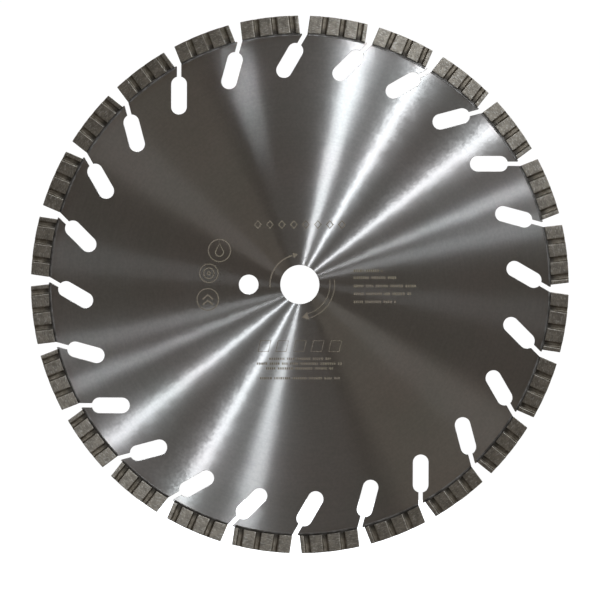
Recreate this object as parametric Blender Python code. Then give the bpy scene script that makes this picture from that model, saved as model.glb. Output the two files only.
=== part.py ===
"""Segmented diamond blade, 350 mm, for masonry and concrete.

Metres, +Z up. The blade spins about the Y axis, its front face looks along -Y, and the origin is
on the spin axis halfway through the thickness. A flat steel core carries 24 sintered diamond
segments on its rim, and a keyhole gullet is cut into the core in every gap between two segments.

Angles are in degrees, seen from the front, counter-clockwise from +X.
"""

import math

import bmesh
import bpy

# The whole blade
BLADE_RADIUS = 0.175
SEGMENT_COUNT = 24
PITCH = 360 / SEGMENT_COUNT
FIRST_SEGMENT = 21.6  # where the middle of the first segment stands

# Steel core
CORE_RADIUS = 0.1633
CORE_THICKNESS = 0.0022
BORE_RADIUS = 0.0127
PIN_HOLE_RADIUS = 0.0064
PIN_HOLE_DISTANCE = 0.0333  # from the bore's axis, towards -X

# Keyhole gullet: a narrow neck from the rim into a wide, round-ended slot, both on one slanted line
GULLET_BEHIND_SEGMENT = 7.6  # from a segment's middle, clockwise, to where the line meets its base
GULLET_BASE_RADIUS = 0.1621
GULLET_SLANT = math.radians(29.2)  # away from the radius
NECK_HALF_WIDTH = 0.0014
SLOT_HALF_WIDTH = 0.0051
SLOT_OUTER_CENTRE = 0.0114  # along the line, inwards from its base
SLOT_INNER_CENTRE = 0.0260
TIP_RELIEF = 0.0003  # along the line, where the sharp corner at the neck's mouth is cut off

# Diamond segments: pressed blocks with grooves on both faces, staggered by half a groove pitch
SEGMENT_LENGTH = 0.038
SEGMENT_THICKNESS = 0.0032
GROOVE_PITCH = 0.01165
GROOVE_DEPTH = 0.00085
GROOVE_HALF_WIDTH = 0.0020
WALL_LEAN = 0.0010  # how far a groove's wall leans from its top to its floor
JOIN_GAP = 0.0003  # between the core's rim and a segment's foot, where the weld is

# Points on round stretches
RIM_STEPS = 16
SHOULDER_STEPS = 8
SLOT_END_STEPS = 20
BORE_STEPS = 120
PIN_HOLE_STEPS = 60


def clear_scene():
    for old in list(bpy.data.objects):
        bpy.data.objects.remove(old)


def metal(name, colour, roughness, metallic):
    """A plain Principled material."""
    material = bpy.data.materials.new(name)
    material.use_nodes = True
    shader = material.node_tree.nodes["Principled BSDF"]
    shader.inputs["Base Color"].default_value = (*colour, 1)
    shader.inputs["Roughness"].default_value = roughness
    shader.inputs["Metallic"].default_value = metallic
    return material


def add_object(name, bm, material):
    """Turns a bmesh into an object of its own, with its faces pointing out."""
    bmesh.ops.recalc_face_normals(bm, faces=bm.faces)
    mesh = bpy.data.meshes.new(name)
    bm.to_mesh(mesh)
    bm.free()
    mesh.materials.append(material)
    return add_mesh_object(name, mesh)


def add_mesh_object(name, mesh):
    thing = bpy.data.objects.new(name, mesh)
    bpy.context.scene.collection.objects.link(thing)
    return thing


def arc(centre, radius, start, end, steps):
    """Points on an arc, both ends included; angles in radians."""
    turn = (end - start) / steps
    return [
        (
            centre[0] + radius * math.cos(start + turn * i),
            centre[1] + radius * math.sin(start + turn * i),
        )
        for i in range(steps + 1)
    ]


def circle(centre, radius, steps):
    return arc(centre, radius, 0, math.tau, steps)[:-1]


def along_gullet(point):
    """Takes a point (inwards along the gullet's line, clockwise across it) to (clockwise, outwards)."""
    along, across = point
    sine, cosine = math.sin(GULLET_SLANT), math.cos(GULLET_SLANT)
    return (
        across * cosine - along * sine,
        GULLET_BASE_RADIUS - across * sine - along * cosine,
    )


def on_rim_along_line(across):
    """How far along the gullet's line the core's rim lies, for a line parallel to it."""
    u, v = along_gullet((0, across))
    sine, cosine = math.sin(GULLET_SLANT), math.cos(GULLET_SLANT)
    half_b = -u * sine - v * cosine
    c = u * u + v * v - CORE_RADIUS**2
    return -half_b - math.sqrt(half_b**2 - c)


def gullet_outline():
    """The gullet as (clockwise, outwards) points, from its clockwise rim corner round to the other."""
    shoulder = math.asin(NECK_HALF_WIDTH / SLOT_HALF_WIDTH)
    outer = (SLOT_OUTER_CENTRE, 0)
    inner = (SLOT_INNER_CENTRE, 0)
    quarter = math.pi / 2
    points = [(on_rim_along_line(NECK_HALF_WIDTH), NECK_HALF_WIDTH)]
    points += arc(outer, SLOT_HALF_WIDTH, math.pi - shoulder, quarter, SHOULDER_STEPS)
    points += arc(inner, SLOT_HALF_WIDTH, quarter, -quarter, SLOT_END_STEPS)
    points += arc(outer, SLOT_HALF_WIDTH, -quarter, -math.pi + shoulder, SHOULDER_STEPS)
    points.append((TIP_RELIEF, -NECK_HALF_WIDTH))
    outline = [along_gullet(point) for point in points]
    across = outline[-1][0]
    outline.append((across, math.sqrt(CORE_RADIUS**2 - across**2)))
    return outline


def turned(points, angle):
    """Takes (clockwise, outwards) points to (x, z), with outwards at the given angle in degrees."""
    sine, cosine = math.sin(math.radians(angle)), math.cos(math.radians(angle))
    return [(u * sine + v * cosine, v * sine - u * cosine) for u, v in points]


def core_outline():
    """The core's edge, counter-clockwise: a gullet, then the rim as far as the next one."""
    gullet = gullet_outline()
    outline = []
    for k in range(SEGMENT_COUNT):
        here = FIRST_SEGMENT - GULLET_BEHIND_SEGMENT + PITCH * k
        gullet_here = turned(gullet, here)
        next_corner = turned(gullet, here + PITCH)[0]
        start = math.atan2(gullet_here[-1][1], gullet_here[-1][0])
        end = math.atan2(next_corner[1], next_corner[0])
        rim = arc((0, 0), CORE_RADIUS, start, start + (end - start) % math.tau, RIM_STEPS)
        outline += gullet_here + rim[1:-1]
    return outline


def plate(outlines, thickness):
    """A flat plate: the first outline is its edge, the others are holes. Its walls shade smooth."""
    bm = bmesh.new()
    for outline in outlines:
        corners = [bm.verts.new((x, -thickness / 2, z)) for x, z in outline]
        for i, corner in enumerate(corners):
            bm.edges.new((corners[i - 1], corner))
    face = bmesh.ops.triangle_fill(bm, use_beauty=True, edges=bm.edges[:])
    front = [part for part in face["geom"] if isinstance(part, bmesh.types.BMFace)]
    extruded = bmesh.ops.extrude_face_region(bm, geom=front, use_keep_orig=True)["geom"]
    back = [part for part in extruded if isinstance(part, bmesh.types.BMVert)]
    bmesh.ops.translate(bm, vec=(0, thickness, 0), verts=back)
    for wall in bm.faces:
        wall.smooth = len({corner.co.y for corner in wall.verts}) > 1
    return bm


def make_core():
    steel = metal("core_steel", (0.10, 0.095, 0.09), 0.35, 1.0)
    bore = circle((0, 0), BORE_RADIUS, BORE_STEPS)
    pin_hole = circle((-PIN_HOLE_DISTANCE, 0), PIN_HOLE_RADIUS, PIN_HOLE_STEPS)
    add_object("steel_core", plate([core_outline(), bore, pin_hole], CORE_THICKNESS), steel)


def groove_profile():
    """The front face's depth along the segment, as (clockwise, depth) corners."""
    corners = []
    for k in (-1, 0, 1):
        middle = GROOVE_PITCH * (k + 0.25)
        first, last = middle - GROOVE_HALF_WIDTH, middle + GROOVE_HALF_WIDTH
        corners += [(first, 0), (first + WALL_LEAN, GROOVE_DEPTH)]
        corners += [(last - WALL_LEAN, GROOVE_DEPTH), (last, 0)]
    ends = SEGMENT_LENGTH / 2
    return [(-ends, 0), *corners, (ends, 0)]


def depth_at(profile, u):
    """The depth of a profile at u, straight between its corners."""
    for (u0, d0), (u1, d1) in zip(profile, profile[1:]):
        if u0 <= u <= u1:
            return d0 + (d1 - d0) * (u - u0) / (u1 - u0)
    return 0


def segment_mesh(material):
    """One segment, its middle straight above the axis. Its back is its front turned half round."""
    profile = groove_profile()
    stations = sorted({u for u, _ in profile} | {-u for u, _ in profile})
    foot_radius = CORE_RADIUS + JOIN_GAP
    half = SEGMENT_THICKNESS / 2
    bm = bmesh.new()
    rings = []
    for u in stations:
        front = depth_at(profile, u) - half
        back = half - depth_at(profile, -u)
        foot = math.sqrt(foot_radius**2 - u**2)
        crown = math.sqrt(BLADE_RADIUS**2 - u**2)
        corners = [(front, foot), (front, crown), (back, crown), (back, foot)]
        rings.append([bm.verts.new((u, y, z)) for y, z in corners])
    for here, there in zip(rings, rings[1:]):
        for i in range(4):
            bm.faces.new((here[i - 1], here[i], there[i], there[i - 1]))
    bm.faces.new(rings[0])
    bm.faces.new(rings[-1])
    bmesh.ops.recalc_face_normals(bm, faces=bm.faces)
    mesh = bpy.data.meshes.new("diamond_segment")
    bm.to_mesh(mesh)
    bm.free()
    mesh.materials.append(material)
    return mesh


def make_segments():
    sintered = metal("sintered_diamond_grit", (0.12, 0.115, 0.11), 0.6, 0.9)
    mesh = segment_mesh(sintered)
    for k in range(SEGMENT_COUNT):
        segment = add_mesh_object(f"diamond_segment_{k + 1:02d}", mesh)
        segment.rotation_euler.y = math.radians(90 - FIRST_SEGMENT - PITCH * k)


def main():
    clear_scene()
    make_core()
    make_segments()


main()
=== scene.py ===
import math
import random
from itertools import product

import bmesh
import bpy
from mathutils import Matrix, Vector, noise


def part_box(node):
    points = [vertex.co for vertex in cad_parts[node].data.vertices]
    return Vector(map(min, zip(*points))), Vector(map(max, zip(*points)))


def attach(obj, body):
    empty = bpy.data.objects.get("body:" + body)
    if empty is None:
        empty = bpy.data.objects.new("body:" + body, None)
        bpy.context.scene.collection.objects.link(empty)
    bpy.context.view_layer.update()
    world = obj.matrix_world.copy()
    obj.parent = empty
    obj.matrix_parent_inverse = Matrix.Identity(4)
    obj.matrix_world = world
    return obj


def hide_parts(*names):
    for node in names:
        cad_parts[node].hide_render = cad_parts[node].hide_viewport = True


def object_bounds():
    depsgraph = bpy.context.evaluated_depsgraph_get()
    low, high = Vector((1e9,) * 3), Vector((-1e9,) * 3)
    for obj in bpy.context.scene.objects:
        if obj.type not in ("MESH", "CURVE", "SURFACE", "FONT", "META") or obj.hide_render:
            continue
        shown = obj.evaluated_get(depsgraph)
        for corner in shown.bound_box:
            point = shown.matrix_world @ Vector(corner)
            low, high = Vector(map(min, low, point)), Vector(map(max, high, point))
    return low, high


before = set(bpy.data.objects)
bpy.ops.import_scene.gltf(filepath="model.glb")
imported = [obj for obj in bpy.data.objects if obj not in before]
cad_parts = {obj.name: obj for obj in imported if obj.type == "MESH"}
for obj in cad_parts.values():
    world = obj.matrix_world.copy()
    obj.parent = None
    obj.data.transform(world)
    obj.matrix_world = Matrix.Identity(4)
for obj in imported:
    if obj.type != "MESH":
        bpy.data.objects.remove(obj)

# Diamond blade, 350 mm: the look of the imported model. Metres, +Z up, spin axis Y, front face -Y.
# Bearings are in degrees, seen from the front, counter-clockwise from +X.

CAD_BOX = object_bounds()
BODY = "root"
MM = 0.001
TINY = 1e-6  # a length below this counts as nothing

# Sizes read from the frame, in millimetres like every shape below
CORE_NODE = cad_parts["steel_core"]
SEGMENT_NODES = sorted(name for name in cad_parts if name.startswith("diamond_segment"))
FIRST_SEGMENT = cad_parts[SEGMENT_NODES[0]]
CORE_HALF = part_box("steel_core")[1].y / MM
CORE_RADIUS = max(vert.co.xz.length for vert in CORE_NODE.data.vertices) / MM
BLADE_RADIUS = max(vert.co.xz.length for vert in FIRST_SEGMENT.data.vertices) / MM
SEGMENT_HALF = CAD_BOX[1].y / MM

# Core
CUT_EDGE_EASE = 0.12  # how far the cut edges of the plate are eased
CUT_EDGE_ANGLE = 60  # an edge this sharp, in degrees, was cut
GRIND_CENTRE = (0.6, 0.0, -0.8)  # the plate was ground a little off its bore's axis
GRIND_SWIRL = 2.0  # radius of the circle that the lines across its grinding marks touch

# Segment: t runs along it, clockwise from the front, and r outwards from the axis
SEGMENT_LENGTH = 38.0
GROOVE_PITCH = 11.65
GROOVE_MIDDLES = [GROOVE_PITCH * (k + 0.25) for k in (-1, 0, 1)]  # t of the front face's grooves
GROOVE_DEPTH = 0.85
GROOVE_HALF_WIDTH = 2.0
WALL_LEAN = 1.0
GROOVE_DRAFT = 0.4  # share of its depth by which a groove is shallower at the foot, deeper at the rim
WALL_ROUND = 0.16  # how far a groove's corners are rounded
EDGE_ROUND = 0.25  # radius of a segment's worn edges
CHIP_DEPTH = 0.16  # what the deepest chip adds to that radius
CHIPS_PER_MM = 0.9
CHIP_CONTRAST = 2.2
PRESSED_DEPTH = 0.05  # unevenness of the pressed surfaces
LUMPS_PER_MM = 1.1
LUMP_LAYERS = (0.9, 2.1, 4)  # smoothness, step in scale from layer to layer, number of layers
FOOT_CLEARANCE = 0.12  # between the core's rim and the foot, inside the weld
STATION = 0.62  # longest face on a segment
CLOSEST_STATIONS = 0.02
SEGMENT_SEEDS = (17.3, 5.1, 29.7)  # from one segment's place in the noise to the next one's

# Weld seam: a low bead on the core's face, then the dark joint; outwards from the core's rim
BEAD_INNER = -1.55
BEAD_OUTER = -0.75
BEAD_HEIGHT = 0.05
BEAD_ROOT = 0.03  # how deep the bead's inner edge lies in the core
BEAD_STEPS = 8
JOINT_EDGE = -0.1  # where the joint leaves the level of the core's face
JOINT_HEIGHT = 0.012
WELD_OUTER = 0.30
WELD_OUTER_SUNK = 0.1  # how far that edge lies below the core's face
WELD_THROAT = (0.02, 0.26)  # the weld between the rim and the foot, deep inside the joint
WELD_THROAT_HALF = 0.6  # half of its thickness
WELD_STEP = 0.3
WELD_END = 0.15  # how far short of the segment's end the seam stops
WELD_TAPER = 0.8  # length over which its ends fade out
WELD_SEED = 3.7  # from one seam's place in the noise to the next one's
RIPPLE_SHARE = 0.16  # of the height above the core's face
RIPPLES_PER_MM = 1.7
WANDER_SIZE = 0.05  # how far the seam wanders in and out
WANDERS_PER_MM = 0.8

# Etched marks
ETCH_PROUD = 0.012
ETCH_SUNK = 0.01


# ---------------------------------------------------------------- small helpers


def clamp(value, low=0.0, high=1.0):
    return max(low, min(high, value))


def smooth_min(a, b, width):
    """The smaller of a and b, with a rounded change from one to the other."""
    mix = clamp(0.5 + 0.5 * (b - a) / width)
    return b + (a - b) * mix - width * mix * (1 - mix)


def new_piece(name, bm, materials, smooth_under=180):
    """A finished piece on the blade's one body; edges sharper than smooth_under stay sharp."""
    bmesh.ops.recalc_face_normals(bm, faces=bm.faces)
    for edge in bm.edges:
        edge.smooth = edge.calc_face_angle(0) < math.radians(smooth_under)
    mesh = bpy.data.meshes.new(name)
    bm.to_mesh(mesh)
    bm.free()
    for material in materials:
        mesh.materials.append(material)
    piece = bpy.data.objects.new(name, mesh)
    bpy.context.scene.collection.objects.link(piece)
    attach(piece, BODY)
    return piece


def turn_to(bm, bearing):
    """Takes a mesh in mm, modelled straight above the axis, to a bearing and to metres."""
    turn = Matrix.Rotation(math.radians(90 - bearing), 4, "Y")
    bm.transform(turn @ Matrix.Scale(MM, 4))


def bearing_of(node):
    low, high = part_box(node)
    middle = (low + high) / 2
    return math.degrees(math.atan2(middle.z, middle.x))


def towards_bearing(bearing):
    """The unit vector away from the spin axis at a bearing."""
    turn = math.radians(bearing)
    return Vector((math.cos(turn), 0, math.sin(turn)))


# ---------------------------------------------------------------- material helpers


class Nodes:
    """Builds one material's node tree with short calls."""

    def __init__(self, name):
        self.material = bpy.data.materials.new(name)
        self.material.use_nodes = True
        self.tree = self.material.node_tree
        self.shader = self.tree.nodes["Principled BSDF"]

    def link(self, value, socket):
        if isinstance(value, bpy.types.NodeSocket):
            self.tree.links.new(value, socket)
        else:
            socket.default_value = value

    def to_shader(self, name, value):
        self.link(value, self.shader.inputs[name])

    def node(self, kind, *values, **settings):
        """A node with its settings, and its first inputs fed in order."""
        made = self.tree.nodes.new("ShaderNode" + kind)
        for key, value in settings.items():
            setattr(made, key, value)
        for value, socket in zip(values, made.inputs):
            self.link(value, socket)
        return made

    def math(self, operation, *values):
        return self.node("Math", *values, operation=operation).outputs[0]

    def vector(self, operation, *values):
        return self.node("VectorMath", *values, operation=operation).outputs[0]

    def scaled(self, vector, factor):
        made = self.node("VectorMath", vector, operation="SCALE")
        self.link(factor, made.inputs["Scale"])
        return made.outputs[0]

    def noise(self, where, size, detail=2.0, roughness=0.5):
        """Noise whose lumps are about size metres across."""
        made = self.node("TexNoise", where)
        made.inputs["Scale"].default_value = 1 / size
        made.inputs["Detail"].default_value = detail
        made.inputs["Roughness"].default_value = roughness
        return made.outputs["Fac"]

    def cells(self, where, size):
        """The distance from the nearest of many scattered points, size metres apart."""
        made = self.node("TexVoronoi", where)
        made.inputs["Scale"].default_value = 1 / size
        return made.outputs["Distance"]

    def between(self, value, low, high, out_low=0.0, out_high=1.0):
        """Takes the range low..high to out_low..out_high, and eases to a stop at the ends."""
        ranges = (low, high, out_low, out_high)
        made = self.node("MapRange", value, *ranges, interpolation_type="SMOOTHSTEP")
        return made.outputs["Result"]

    def swing(self, value, size):
        """Takes noise of 0 to 1 to a swing of that size about zero."""
        return self.math("MULTIPLY_ADD", value, size, -size / 2)

    def blend(self, factor, colour_a, colour_b):
        made = self.node("Mix", data_type="RGBA")
        self.link(factor, made.inputs[0])
        self.link(colour_a, made.inputs[6])
        self.link(colour_b, made.inputs[7])
        return made.outputs[2]

    def bump(self, height, depth, normal=None):
        """Raises the surface by height (0 to 1) times depth metres."""
        made = self.node("Bump")
        made.inputs["Distance"].default_value = depth
        self.link(height, made.inputs["Height"])
        if normal is not None:
            self.link(normal, made.inputs["Normal"])
        return made.outputs["Normal"]

    def place(self):
        return self.node("TexCoord").outputs["Object"]

    def outwards(self):
        """The distance from the spin axis, and the unit vector that points away from it."""
        flat = self.vector("MULTIPLY", self.place(), (1.0, 0.0, 1.0))
        radius = self.node("VectorMath", flat, operation="LENGTH").outputs["Value"]
        return radius, self.vector("NORMALIZE", flat)

    def across_grinding(self):
        """The distance from the grinding's centre, and the unit vector across its marks."""
        place = self.vector("SUBTRACT", self.place(), tuple(c * MM for c in GRIND_CENTRE))
        flat = self.vector("MULTIPLY", place, (1.0, 0.0, 1.0))
        radius = self.node("VectorMath", flat, operation="LENGTH").outputs["Value"]
        clockwise = self.vector("CROSS_PRODUCT", (0.0, 1.0, 0.0), self.vector("NORMALIZE", flat))
        turned = self.vector("ADD", flat, self.scaled(clockwise, GRIND_SWIRL * MM))
        return radius, self.vector("NORMALIZE", turned)

    def rings(self, radius, away, across, turns):
        """Noise drawn out round the spin axis: it changes in so many metres across the rings, and
        in so many radians along them."""
        around = self.scaled(away, 1 / turns)
        made = self.node("TexNoise", noise_dimensions="4D")
        self.link(around, made.inputs["Vector"])
        self.link(self.math("DIVIDE", radius, across), made.inputs["W"])
        made.inputs["Scale"].default_value = 1.0
        made.inputs["Detail"].default_value = 2.0
        return made.outputs["Fac"]

    def grind_round(self, away, strength):
        """Stretches the highlight across marks that run round the spin axis."""
        tangent = self.vector("CROSS_PRODUCT", away, (0.0, 1.0, 0.0))
        self.to_shader("Tangent", tangent)
        self.to_shader("Anisotropic", strength)
        self.to_shader("Anisotropic Rotation", 0.25)
        return tangent

    def add_sharp_streaks(self, colour, normal, tangent, roughness, strength, share):
        """Mixes in a second gloss, far narrower along the grinding marks than across them."""
        gloss = self.node("BsdfAnisotropic", colour, roughness, strength)
        self.link(normal, gloss.inputs["Normal"])
        self.link(tangent, gloss.inputs["Tangent"])
        mix = self.node("MixShader", share, self.shader.outputs[0], gloss.outputs[0])
        self.link(mix.outputs[0], self.tree.nodes["Material Output"].inputs["Surface"])


def tone(value, warmth=0.0):
    """A grey, warm above 0 and cool below."""
    return (value * (1 + warmth), value, value * (1 - warmth), 1.0)


# ---------------------------------------------------------------- materials


# Ground steel
STEEL_WARM = (0.465, 0.425, 0.40, 1)
STEEL_COOL = (0.44, 0.435, 0.405, 1)
STEEL_PALE = (0.53, 0.50, 0.485, 1)
STEEL_BAND = (0.36, 0.34, 0.325, 1)
STEEL_GRAIN = (0.31, 0.295, 0.285, 1)
STEEL_HEATED = (0.28, 0.21, 0.18, 1)
STEEL_WAVE = 0.014  # slope of the plate's unevenness, for each of its two noises

# Sintered metal: its ground lands, the pressed skin of its grooves, the grit in both, and painted
# shade at the grooves' feet
LAND_DARK = (0.187, 0.163, 0.133, 1)
LAND_PALE = (0.29, 0.254, 0.207, 1)
LAND_MARK = (0.56, 0.535, 0.48, 1)
SKIN_DARK = (0.135, 0.113, 0.084, 1)
SKIN_PALE = (0.249, 0.213, 0.167, 1)
# Painted shade: the grooves' skin darkens towards this near-black at the foot, where the core's rim
# would shade it
SKIN_PAINTED_SHADE = (0.035, 0.03, 0.025, 1)
GRIT = (0.8, 0.8, 0.74, 1)
LAND_ENDS = 0.06  # mm below the lands, where the ground metal starts to give way to the skin
SKIN_STARTS = 0.18  # mm below the lands, where the skin is whole
FOOT_SHADE_DARKEST = 0.5  # mm outwards from the core's rim
FOOT_SHADE_FADED = 6.0

# Etched marks
MARK_DARK = (0.19, 0.16, 0.125, 1)
MARK_PALE = (0.28, 0.236, 0.182, 1)
MARK_PALE_YELLOW = (0.288, 0.25, 0.174, 1)


def ground_steel():
    """The core's faces: bare steel, ground in fine rings round the bore."""
    n = Nodes("ground_core_steel")
    radius, away = n.across_grinding()
    where = n.place()
    fine = n.rings(radius, away, 0.00016, 0.35)
    bands = n.rings(radius, away, 0.0011, 0.2)
    patches = n.noise(where, 0.06, 3)
    blotches = n.noise(where, 0.009, 3)
    grain = n.noise(where, 0.0016, 1)
    hue = n.noise(where, 0.05, 1)
    base = n.blend(n.between(hue, 0.25, 0.75), STEEL_WARM, STEEL_COOL)
    base = n.blend(n.between(patches, 0.25, 0.8, 0.0, 0.5), base, STEEL_PALE)
    base = n.blend(n.between(bands, 0.3, 0.8, 0.0, 0.3), base, STEEL_BAND)
    base = n.blend(n.between(grain, 0.3, 0.7, 0.0, 0.25), base, STEEL_GRAIN)
    # Patches near the rim were tinted by the welding
    heat = n.math("MULTIPLY", n.between(radius, 0.157, 0.1645), n.between(blotches, 0.3, 0.7))
    base = n.blend(n.math("MULTIPLY", heat, 0.5), base, STEEL_HEATED)
    n.to_shader("Base Color", base)
    n.to_shader("Metallic", 1.0)
    n.to_shader("Roughness", n.between(patches, 0.25, 0.75, 0.28, 0.315))
    # The plate is never quite flat, so the streaks waver
    wave = n.math("ADD", n.swing(blotches, STEEL_WAVE), n.swing(grain, STEEL_WAVE))
    normal = n.node("NewGeometry").outputs["Normal"]
    sideways = n.scaled(n.vector("CROSS_PRODUCT", normal, away), wave)
    wavy = n.vector("NORMALIZE", n.vector("ADD", normal, sideways))
    normal = n.bump(fine, 0.000003, wavy)
    n.to_shader("Normal", normal)
    tangent = n.grind_round(away, 1.0)
    n.add_sharp_streaks(base, normal, tangent, roughness=0.30, strength=0.87, share=0.5)
    return n.material


def cut_steel():
    """Laser-cut edges of the plate: fine ridges across the thickness, slightly burnt."""
    n = Nodes("cut_core_edge")
    where = n.place()
    ridges = n.noise(n.vector("MULTIPLY", where, (1.0, 0.12, 1.0)), 0.00035, 2)
    burn = n.noise(where, 0.006, 3)
    base = n.blend(n.between(burn, 0.35, 0.65), tone(0.24, 0.1), tone(0.42, 0.03))
    n.to_shader("Base Color", base)
    n.to_shader("Metallic", 1.0)
    n.to_shader("Roughness", n.between(ridges, 0.3, 0.7, 0.38, 0.55))
    n.to_shader("Normal", n.bump(ridges, 0.00003))
    return n.material


def sintered_metal():
    """Pressed metal powder and diamond grit: lands ground bright, grooves left with a dark skin."""
    n = Nodes("sintered_segment")
    radius, away = n.outwards()
    where = n.place()
    depth = n.math("ABSOLUTE", n.node("SeparateXYZ", where).outputs["Y"])
    ground = n.between(depth, (SEGMENT_HALF - SKIN_STARTS) * MM, (SEGMENT_HALF - LAND_ENDS) * MM)
    marks = n.rings(radius, away, 0.0007, 0.012)
    mottle = n.noise(where, 0.0028, 4, 0.6)
    grain = n.noise(where, 0.0004, 3, 0.6)
    grit = n.cells(where, 0.0009)
    land = n.blend(n.between(mottle, 0.3, 0.7), LAND_DARK, LAND_PALE)
    land = n.blend(n.between(marks, 0.5, 0.72, 0.0, 0.55), land, LAND_MARK)
    skin = n.blend(n.between(mottle, 0.3, 0.7), SKIN_DARK, SKIN_PALE)
    # Painted shade: the skin is darkest at the foot, next to the weld, where the core's rim would
    # shade the grooves
    start, end = (CORE_RADIUS + FOOT_SHADE_DARKEST) * MM, (CORE_RADIUS + FOOT_SHADE_FADED) * MM
    skin = n.blend(n.between(radius, start, end, 0.85, 0.0), skin, SKIN_PAINTED_SHADE)
    base = n.blend(ground, skin, land)
    n.to_shader("Base Color", n.blend(n.between(grit, 0.06, 0.16, 0.4, 0.0), base, GRIT))
    n.to_shader("Metallic", 0.92)
    dull = n.between(ground, 0.0, 1.0, 0.58, 0.48)
    n.to_shader("Roughness", n.math("ADD", dull, n.between(grain, 0.3, 0.7, -0.07, 0.07)))
    n.to_shader("Normal", n.bump(marks, 0.0001, n.bump(mottle, 0.0001, n.bump(grain, 0.00003))))
    n.grind_round(away, 0.82)
    return n.material


def weld_metal():
    """Beam-welded seam: a rippled bead of bare steel, and a joint darkened partly by its own heat and
    partly by painted shade of the gap under the segment's foot.
    """
    n = Nodes("weld_seam")
    radius, _ = n.outwards()
    where = n.place()
    ripple = n.noise(where, 0.0006, 2)
    tint = n.noise(where, 0.005, 3)
    joint_start = (CORE_RADIUS + BEAD_OUTER) * MM
    joint = n.between(radius, joint_start - 0.0001, joint_start + 0.0001)
    # Painted shade: the joint's near-black colour stands partly for the shadow in the gap at the
    # segment's foot, partly for heat tint
    joint_tint_and_shade = n.blend(n.between(tint, 0.3, 0.7), tone(0.035, 0.12), tone(0.10, 0.1))
    bead = n.blend(n.between(tint, 0.35, 0.75), tone(0.12, 0.1), tone(0.30, 0.04))
    n.to_shader("Base Color", n.blend(joint, bead, joint_tint_and_shade))
    n.to_shader("Metallic", 0.95)
    dull = n.between(joint, 0.0, 1.0, 0.4, 0.5)
    n.to_shader("Roughness", n.math("ADD", dull, n.swing(ripple, 0.3)))
    n.to_shader("Normal", n.bump(ripple, 0.00004))
    return n.material


def etched_steel():
    """Chemically etched marks: matt, browner than the ground steel round them."""
    n = Nodes("etched_marking")
    where = n.place()
    frost = n.noise(where, 0.0005, 3)
    cast = n.noise(where, 0.02, 2)
    pale = n.blend(n.between(cast, 0.4, 0.6), MARK_PALE, MARK_PALE_YELLOW)
    n.to_shader("Base Color", n.blend(n.between(frost, 0.3, 0.7), MARK_DARK, pale))
    n.to_shader("Metallic", 0.8)
    n.to_shader("Roughness", n.between(frost, 0.3, 0.7, 0.5, 0.66))
    n.to_shader("Normal", n.bump(frost, 0.00002))
    return n.material


# ---------------------------------------------------------------- steel core


def make_core():
    """The CAD plate with its cut edges eased, so that each one catches the light."""
    bm = bmesh.new()
    bm.from_mesh(CORE_NODE.data)
    bmesh.ops.remove_doubles(bm, verts=bm.verts, dist=TINY)
    flat = math.radians(0.5)
    bmesh.ops.dissolve_limit(bm, angle_limit=flat, verts=bm.verts, edges=bm.edges)
    cuts = [edge for edge in bm.edges if edge.calc_face_angle(0) > math.radians(CUT_EDGE_ANGLE)]
    # Of these, the ones along a face, not the corners that run through the thickness
    rims = [edge for edge in cuts if abs(edge.verts[0].co.y - edge.verts[1].co.y) < TINY]
    bmesh.ops.bevel(
        bm, geom=rims, offset=CUT_EDGE_EASE * MM, offset_type="OFFSET", segments=2, profile=0.5,
        affect="EDGES", clamp_overlap=True,
    )
    bm.normal_update()
    for face in bm.faces:
        on_face = abs(face.normal.y) > 0.999
        face.smooth = not on_face
        face.material_index = 0 if on_face else 1
    materials = [ground_steel(), cut_steel()]
    core = new_piece("core_plate", bm, materials, smooth_under=40)
    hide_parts("steel_core")


# ---------------------------------------------------------------- diamond segments


def groove_depth(t):
    """How far the front face lies below its lands at t, with rounded corners."""
    deepest = 0.0
    for middle in GROOVE_MIDDLES:
        inside = GROOVE_HALF_WIDTH - abs(t - middle)
        wall = inside / WALL_LEAN * GROOVE_DEPTH
        floor = smooth_min(wall, GROOVE_DEPTH, WALL_ROUND)
        deepest = max(deepest, -smooth_min(-floor, 0.0, WALL_ROUND))
    return deepest


def filled_in(stations, step):
    """Stations with others added evenly wherever two are more than step apart."""
    result = [stations[0]]
    for low, high in zip(stations, stations[1:]):
        count = max(1, math.ceil((high - low) / step - 0.01))
        result += [low + (high - low) * i / count for i in range(1, count + 1)]
    return result


def edge_stations(low, high):
    """Both ends of a stretch, with more stations where its edges are rounded."""
    rounding = [EDGE_ROUND * share for share in (0.0, 0.12, 0.4, 1.0)]
    return [low + r for r in rounding] + [high - r for r in reversed(rounding)]


def segment_stations():
    """Places along a segment: its rounded ends, and every corner of the grooves on both faces."""
    ends = SEGMENT_LENGTH / 2
    marks = set(edge_stations(-ends, ends))
    corners = (GROOVE_HALF_WIDTH, GROOVE_HALF_WIDTH - WALL_LEAN)
    for middle, corner, beside in product(GROOVE_MIDDLES, corners, (-WALL_ROUND, 0.0, WALL_ROUND)):
        offset = corner + beside
        marks |= {middle - offset, middle + offset, -middle - offset, -middle + offset}
    kept = []
    for mark in sorted(mark for mark in marks if -ends <= mark <= ends):
        if not kept or mark - kept[-1] > CLOSEST_STATIONS:
            kept.append(mark)
    kept[-1] = ends
    return filled_in(kept, STATION)


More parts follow.
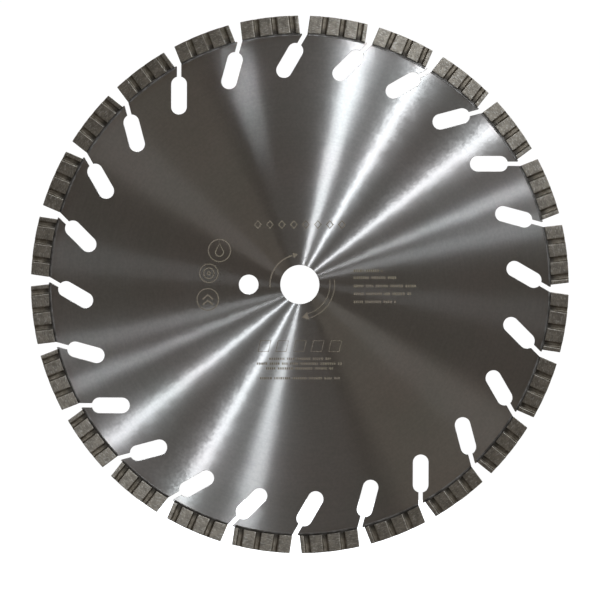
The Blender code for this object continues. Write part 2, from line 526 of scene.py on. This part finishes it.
def skin_point(t, height, across, seed):
    """A point of the segment's skin in mm. height runs from foot (0) to crown (1) and across from
    the front face (-1) to the back (1). Edges are rounded, worn and a little chipped."""
    foot = math.sqrt((CORE_RADIUS + FOOT_CLEARANCE) ** 2 - t * t)
    crown = math.sqrt(BLADE_RADIUS**2 - t * t)
    r = foot + (crown - foot) * height
    draft = 1 + GROOVE_DRAFT * (2 * height - 1)
    front = -SEGMENT_HALF + groove_depth(t) * draft
    back = SEGMENT_HALF - groove_depth(-t) * draft
    y = front + (back - front) * (across + 1) / 2
    low = Vector((-SEGMENT_LENGTH / 2, front, foot))
    high = Vector((SEGMENT_LENGTH / 2, back, crown))
    point = Vector((t, y, r))
    chip = clamp(noise.noise(point * CHIPS_PER_MM + seed) * CHIP_CONTRAST)
    edge = EDGE_ROUND + CHIP_DEPTH * chip
    inner = Vector([clamp(p, a + edge, b - edge) for p, a, b in zip(point, low, high)])
    away = point - inner
    if away.length < TINY:
        return point
    if away.length > edge:
        point = inner + away.normalized() * edge
    lump = clamp(0.5 + 0.5 * noise.fractal(point * LUMPS_PER_MM + seed, *LUMP_LAYERS))
    return point - away.normalized() * PRESSED_DEPTH * lump


def segment_mesh(seed):
    """A segment above the axis as one closed skin of small faces, in mm."""
    stations = segment_stations()
    tall = BLADE_RADIUS - CORE_RADIUS - FOOT_CLEARANCE
    heights = [h / tall for h in filled_in(edge_stations(0.0, tall), STATION)]
    thick = 2 * SEGMENT_HALF
    acrosses = [a / thick * 2 - 1 for a in filled_in(edge_stations(0.0, thick), STATION)]
    sizes = (len(stations) - 1, len(heights) - 1, len(acrosses) - 1)
    bm = bmesh.new()
    skin = {}

    def corner(i, j, k):
        if (i, j, k) not in skin:
            skin[i, j, k] = bm.verts.new(skin_point(stations[i], heights[j], acrosses[k], seed))
        return skin[i, j, k]

    # The six sides of a box of stations: one of the three counts is fixed, the other two run
    for fixed in range(3):
        a, b = [axis for axis in range(3) if axis != fixed]
        for end, p, q in product((0, sizes[fixed]), range(sizes[a]), range(sizes[b])):
            place = [0, 0, 0]
            place[fixed] = end
            corners = []
            for dp, dq in ((0, 0), (1, 0), (1, 1), (0, 1)):
                place[a], place[b] = p + dp, q + dq
                corners.append(corner(*place))
            bm.faces.new(corners).smooth = True
    return bm


def make_segments():
    material = sintered_metal()
    for index, node in enumerate(SEGMENT_NODES):
        bm = segment_mesh(Vector([index * step for step in SEGMENT_SEEDS]))
        turn_to(bm, bearing_of(node))
        name = f"segment_body_{index + 1:02d}"
        segment = new_piece(name, bm, [material], smooth_under=50)
        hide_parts(node)


# ---------------------------------------------------------------- weld seams


def weld_section():
    """The seam's outline in its own plane, (from the core's rim outwards, across the thickness)."""
    front = [(BEAD_INNER, -CORE_HALF + BEAD_ROOT)]
    for step in range(1, BEAD_STEPS):
        out = BEAD_INNER + (BEAD_OUTER - BEAD_INNER) * step / BEAD_STEPS
        rise = math.sin(math.pi * step / BEAD_STEPS) ** 1.5
        front.append((out, -CORE_HALF - max(JOINT_HEIGHT, BEAD_HEIGHT * rise)))
    front += [(out, -CORE_HALF - JOINT_HEIGHT) for out in (BEAD_OUTER, JOINT_EDGE)]
    front.append((WELD_OUTER, -CORE_HALF + WELD_OUTER_SUNK))
    back = [(out, -across) for out, across in reversed(front)]
    near, far = WELD_THROAT
    outer_throat = [(far, -WELD_THROAT_HALF), (far, WELD_THROAT_HALF)]
    inner_throat = [(near, WELD_THROAT_HALF), (near, -WELD_THROAT_HALF)]
    return front + outer_throat + back + inner_throat


def make_weld(name, bearing, material, seed):
    """A seam along one segment's foot, with ripples along it and tapered ends."""
    half = SEGMENT_LENGTH / 2 - WELD_END
    count = round(2 * half / WELD_STEP)
    section = weld_section()
    bm = bmesh.new()
    rings = []
    for i in range(count + 1):
        t = -half + 2 * half * i / count
        ripple = 1 + RIPPLE_SHARE * noise.noise(Vector((t * RIPPLES_PER_MM, seed, 0.0)))
        taper = math.sqrt(clamp((half - abs(t)) / WELD_TAPER + 0.04))
        wander = WANDER_SIZE * noise.noise(Vector((t * WANDERS_PER_MM, seed, 9.0)))
        ring = []
        for out, across in section:
            proud = max(0.0, abs(across) - CORE_HALF)
            across = math.copysign(abs(across) - proud * (1 - ripple * taper), across)
            r = CORE_RADIUS + out + (wander if proud else 0.0)
            ring.append(bm.verts.new((t, across, math.sqrt(r * r - t * t))))
        rings.append(ring)
    for here, there in zip(rings, rings[1:]):
        for i in range(len(section)):
            bm.faces.new((here[i - 1], here[i], there[i], there[i - 1])).smooth = True
    bm.faces.new(rings[0])
    bm.faces.new(rings[-1])
    turn_to(bm, bearing)
    new_piece(name, bm, [material], smooth_under=50)


def make_welds():
    material = weld_metal()
    for index, node in enumerate(SEGMENT_NODES):
        make_weld(f"weld_seam_{index + 1:02d}", bearing_of(node), material, index * WELD_SEED)


# ---------------------------------------------------------------- outlines of etched marks


# Places are in mm, (right, up) from the bore's middle


def arc(centre, radius, start, end, step=4):
    """Points on an arc, both ends included; angles in degrees."""
    count = max(2, math.ceil(abs(end - start) / step))
    turns = [math.radians(start + (end - start) * i / count) for i in range(count + 1)]
    x, z = centre
    return [(x + radius * math.cos(turn), z + radius * math.sin(turn)) for turn in turns]


def lozenge(x, z, width, height):
    return [(x - width / 2, z), (x, z - height / 2), (x + width / 2, z), (x, z + height / 2)]


def slanted_frame(x, z, width, height, lean):
    """A slanted box round (x, z); its top lies lean further right than its middle."""
    low, high, half = z - height / 2, z + height / 2, width / 2
    bottom = [(x - half - lean, low), (x + half - lean, low)]
    return bottom + [(x + half + lean, high), (x - half + lean, high)]


def arrow_head(radius, bearing, size):
    """A triangle on a circle round the bore, its tip clockwise of the bearing."""
    out = towards_bearing(bearing).xz
    clockwise = Vector((out.y, -out.x))
    middle = out * radius
    side = out * size * 0.6
    return [tuple(corner) for corner in (middle + side, middle - side, middle + clockwise * size)]


# ---------------------------------------------------------------- etched marks


class Etching:
    """A group of thin raised marks on the front face, which makes one piece."""

    def __init__(self, name):
        self.name = name
        self.bm = bmesh.new()

    def wall(self, outline):
        """The lower and upper vertices of an outline."""
        heights = (-CORE_HALF + ETCH_SUNK, -CORE_HALF - ETCH_PROUD)
        return [[self.bm.verts.new((x * MM, y * MM, z * MM)) for x, z in outline] for y in heights]

    def filled(self, outline):
        low, high = self.wall(outline)
        self.bm.faces.new(low)
        self.bm.faces.new(high)
        for i in range(len(outline)):
            self.bm.faces.new((low[i - 1], low[i], high[i], high[i - 1]))

    def line(self, path, width, closed=False):
        """A line of even width along a path."""
        left, right = [], []
        last = len(path) - 1
        for i, (x, z) in enumerate(path):
            before = path[i - 1] if closed or i else path[i]
            after = path[(i + 1) % len(path)] if closed or i < last else path[i]
            dx, dz = after[0] - before[0], after[1] - before[1]
            size = math.hypot(dx, dz)
            shift = (-dz / size * width / 2, dx / size * width / 2)
            left.append((x + shift[0], z + shift[1]))
            right.append((x - shift[0], z - shift[1]))
        left_low, left_high = self.wall(left)
        right_low, right_high = self.wall(right)
        top_and_bottom = ((left_low, right_low), (left_high, right_high))
        sides = ((left_low, left_high), (right_low, right_high))
        for i in range(len(path)) if closed else range(1, len(path)):
            for a, b in top_and_bottom + sides:
                self.bm.faces.new((a[i - 1], a[i], b[i], b[i - 1]))
        if not closed:
            for i in (0, last):
                self.bm.faces.new((left_low[i], left_high[i], right_high[i], right_low[i]))

    def ring(self, centre, radius, width):
        self.line(arc(centre, radius, 0, 360)[:-1], width, closed=True)

    def bar(self, x, z, length, height):
        low, high = z - height / 2, z + height / 2
        self.filled([(x, low), (x + length, low), (x + length, high), (x, high)])

    def done(self, material):
        new_piece(self.name, self.bm, [material])


def make_arrows(material):
    """Two clockwise turning arrows round the bore: a single line, and a double one."""
    arrows = Etching("direction_arrows")
    bore = (0, 0)
    single = 19.4
    arrows.line(arc(bore, single, 186, 104), 0.8)
    arrows.filled(arrow_head(single, 103, 3.2))
    inner, outer = 19.6, 22.6
    for radius in (inner, outer):
        arrows.line(arc(bore, radius, 8, -74), 0.45)
    arrows.filled(arrow_head((inner + outer) / 2, -75, 4.4))
    arrows.done(material)


def make_droplet_sign(material):
    sign = Etching("sign_droplet")
    x, z = -52.3, 22.1
    sign.ring((x, z), 7.2, 0.65)
    drop = arc((x, z - 1.2), 2.6, -215, 35, step=12) + [(x, z + 4.6)]
    sign.line(drop, 0.7, closed=True)
    sign.done(material)


def make_blade_sign(material):
    sign = Etching("sign_blade")
    for radius in (6.0, 3.4, 1.0):
        sign.ring((-59.2, 7.3), radius, 0.6)
    sign.done(material)


def make_chevron_sign(material):
    sign = Etching("sign_chevrons")
    x, middle = -59.9, -9.7
    sign.ring((x, middle), 7.0, 0.65)
    for rise in (-2.4, 1.2):
        z = middle + rise
        sign.line([(x - 3.4, z - 1.2), (x, z + 1.8), (x + 3.4, z - 1.2)], 1.0)
    sign.done(material)


def make_lozenge_row(material):
    """A row of lozenges above the bore."""
    row = Etching("lozenge_row")
    for k in range(8):
        row.line(lozenge(-27.3 + 7.8 * k, 39.0, 4.2, 5.0), 0.8, closed=True)
    row.done(material)


# Small print: bars in word-like groups
BARS_IN_GROUP = (3, 8)
BAR_LENGTH = (0.7, 1.25)
BAR_GAP = 0.42
GROUP_GAP = 1.2
SHORTEST_GROUP = 1.0


def text_row(etching, x, z, length, height, dice):
    """A row of small bars, standing for a line of small print."""
    end = x + length
    while x < end - SHORTEST_GROUP:
        for _ in range(dice.randint(*BARS_IN_GROUP)):
            wide = dice.uniform(*BAR_LENGTH)
            if x + wide > end:
                return
            etching.bar(x, z, wide, height)
            x += wide + BAR_GAP
        x += GROUP_GAP


def make_print_right(material, dice):
    """Rows of small print right of the bore, each with its height and length."""
    print_right = Etching("print_right")
    for z, length in ((8.9, 20), (4.4, 29), (-1.0, 41), (-6.1, 38), (-11.3, 29)):
        text_row(print_right, 35.0, z, length, 1.7, dice)
    print_right.done(material)


def make_print_below(material, dice):
    """A row of slanted frames below the bore, and rows of small print centred under it."""
    print_below = Etching("print_below")
    for k in range(5):
        frame_outline = slanted_frame(-23.0 + 11.5 * k, -40.1, 6.8, 7.0, 0.8)
        print_below.line(frame_outline, 0.5, closed=True)
    for z, half in ((-48.3, 20), (-51.5, 28), (-54.6, 22), (-61.0, 26)):
        text_row(print_below, -half, z, 2 * half, 1.5, dice)
    print_below.done(material)


def make_marks():
    material = etched_steel()
    make_arrows(material)
    make_droplet_sign(material)
    make_blade_sign(material)
    make_chevron_sign(material)
    make_lozenge_row(material)
    dice = random.Random(7)
    make_print_right(material, dice)
    make_print_below(material, dice)


# ---------------------------------------------------------------- stage


FLOOR_RADIUS = 2.4
FLOOR_DROP = 0.26  # below the bore, so that the picture doesn't show it
ROOM_COLOUR = (1.0, 0.92, 0.83, 1.0)
ROOM_STRENGTH = 0.135
WHITE_STRENGTH = 1.02


def make_floor():
    """A pale floor under the blade, bright enough to read as white."""
    bm = bmesh.new()
    bmesh.ops.create_circle(bm, cap_ends=True, segments=96, radius=FLOOR_RADIUS)
    mesh = bpy.data.meshes.new("floor")
    bm.to_mesh(mesh)
    bm.free()
    floor = bpy.data.objects.new("floor", mesh)
    floor.location.z = -FLOOR_DROP
    bpy.context.scene.collection.objects.link(floor)
    n = Nodes("floor_white")
    n.to_shader("Base Color", tone(0.9))
    n.to_shader("Roughness", 0.9)
    n.to_shader("Emission Color", tone(1.0))
    n.to_shader("Emission Strength", 1.0)
    mesh.materials.append(n.material)
    floor.visible_glossy = False


def make_world():
    """White behind the blade, and a dim warm room for the steel to mirror."""
    world = bpy.data.worlds.new("studio")
    bpy.context.scene.world = world
    world.use_nodes = True
    tree = world.node_tree
    room = tree.nodes["Background"]
    room.inputs["Color"].default_value = ROOM_COLOUR
    room.inputs["Strength"].default_value = ROOM_STRENGTH
    white = tree.nodes.new("ShaderNodeBackground")
    white.inputs["Color"].default_value = (1, 1, 1, 1)
    white.inputs["Strength"].default_value = WHITE_STRENGTH
    path = tree.nodes.new("ShaderNodeLightPath")
    mix = tree.nodes.new("ShaderNodeMixShader")
    tree.links.new(path.outputs["Is Camera Ray"], mix.inputs[0])
    tree.links.new(room.outputs[0], mix.inputs[1])
    tree.links.new(white.outputs[0], mix.inputs[2])
    tree.links.new(mix.outputs[0], tree.nodes["World Output"].inputs["Surface"])


# ---------------------------------------------------------------- lights


STRIP_LENGTH = 20  # in degrees, seen from the bore
STRIP_LEAN = 44  # of a softbox's direction from the spin axis, in degrees
COOL = (0.885, 0.965, 1.055)
WARM = (1.03, 0.965, 0.82)
# Long softboxes, each of which makes one streak on both sides of the bore: bearing and width in
# degrees, distance in metres, brightness in watts per square metre, colour
STRIPS = (
    (14.3, 5.0, 3.0, 18.0, COOL),
    (23.1, 2.8, 1.4, 55.0, COOL),
    (38.7, 2.9, 4.5, 172.0, COOL),
    (60.1, 3.4, 4.5, 172.0, COOL),
    (75.3, 5.5, 0.95, 100.0, COOL),
    (96.0, 22.0, 3.0, 1.5, COOL),
    (142.0, 12.0, 3.0, 2.3, COOL),
    (171.7, 8.0, 3.0, 3.5, COOL),
    (312.0, 36.0, 3.0, 3.0, WARM),
)

# The small softbox outside the rim, in metres
RIM_LIGHT_BEARING = 105.3
RIM_LIGHT_RADIUS = 0.241  # from the spin axis
RIM_LIGHT_HEIGHT = 0.12  # in front of the blade, or behind it
RIM_LIGHT_TARGET = 0.13  # radius of the place that it points at
RIM_LIGHT_SIZE = (0.032, 0.012)
RIM_LIGHT_SPREAD = 25  # of its beam, in degrees
RIM_LIGHT_POWER = 0.00072  # in watts


def add_light(name, place, towards, size, power, colour, spread=180):
    """A rectangular softbox; size is (across the blade's radius, along it) in metres, and spread
    the angle of its beam in degrees."""
    outwards = Vector((place.x, 0, place.z)).normalized()
    across = outwards.cross(Vector((0, 1, 0)))
    data = bpy.data.lights.new(name, "AREA")
    data.shape = "RECTANGLE"
    data.size, data.size_y = size
    data.energy = power
    data.color = colour
    data.spread = math.radians(spread)
    light = bpy.data.objects.new(name, data)
    axes = Matrix((across, towards.cross(across), towards)).transposed().to_4x4()
    light.matrix_world = Matrix.Translation(place) @ axes
    light.visible_camera = False
    bpy.context.scene.collection.objects.link(light)


def add_strip(name, bearing, side, width, distance, brightness, colour):
    """A softbox aimed at the bore; side is -1 in front of the blade and 1 behind it."""
    tilt = math.radians(STRIP_LEAN)
    outwards = towards_bearing(bearing)
    towards = outwards * math.sin(tilt) + Vector((0, side * math.cos(tilt), 0))
    across = distance * math.sin(tilt) * math.radians(width)
    along = distance * math.radians(STRIP_LENGTH)
    power = brightness * across * along
    add_light(name, towards * distance, towards, (across, along), power, colour)


def add_rim_light(name, bearing, side):
    """A small softbox with a narrow beam, whose streak ends half way from the rim to the bore."""
    outwards = towards_bearing(bearing)
    place = outwards * RIM_LIGHT_RADIUS + Vector((0, side * RIM_LIGHT_HEIGHT, 0))
    towards = (place - outwards * RIM_LIGHT_TARGET).normalized()
    add_light(name, place, towards, RIM_LIGHT_SIZE, RIM_LIGHT_POWER, COOL, RIM_LIGHT_SPREAD)


def on_side(bearing, side):
    """A bearing as it is in front of the blade, and turned about the vertical behind it."""
    return bearing if side < 0 else 180 - bearing


def make_lights():
    """The same softboxes in front of the blade and behind it."""
    for side, face in ((-1, "front"), (1, "back")):
        for bearing, width, distance, brightness, colour in STRIPS:
            name = f"{face}_strip_{bearing:.0f}"
            add_strip(name, on_side(bearing, side), side, width, distance, brightness, colour)
        add_rim_light(f"{face}_rim_light", on_side(RIM_LIGHT_BEARING, side), side)


# ---------------------------------------------------------------- camera


CAMERA_DISTANCE = 2.6
PICTURE_WIDTH = 0.3906  # of the blade's plane, across the whole picture
PICTURE_MIDDLE = (0.0001, -0.0101)  # right and up from the bore, so the blade sits a little high
SENSOR_WIDTH = 36


def make_camera():
    """Square on to the front face, with a long lens."""
    data = bpy.data.cameras.new("camera")
    data.sensor_width = SENSOR_WIDTH
    data.lens = SENSOR_WIDTH * CAMERA_DISTANCE / PICTURE_WIDTH
    camera = bpy.data.objects.new("camera", data)
    x, z = PICTURE_MIDDLE
    camera.location = (x, -CAMERA_DISTANCE, z)
    camera.rotation_euler = (math.radians(90), 0, 0)
    bpy.context.scene.collection.objects.link(camera)
    bpy.context.scene.camera = camera


# ---------------------------------------------------------------- the blade


def main():
    make_core()
    make_segments()
    make_welds()
    make_marks()
    make_floor()
    make_world()
    make_lights()
    make_camera()
    bpy.context.scene.view_settings.view_transform = "Standard"


main()
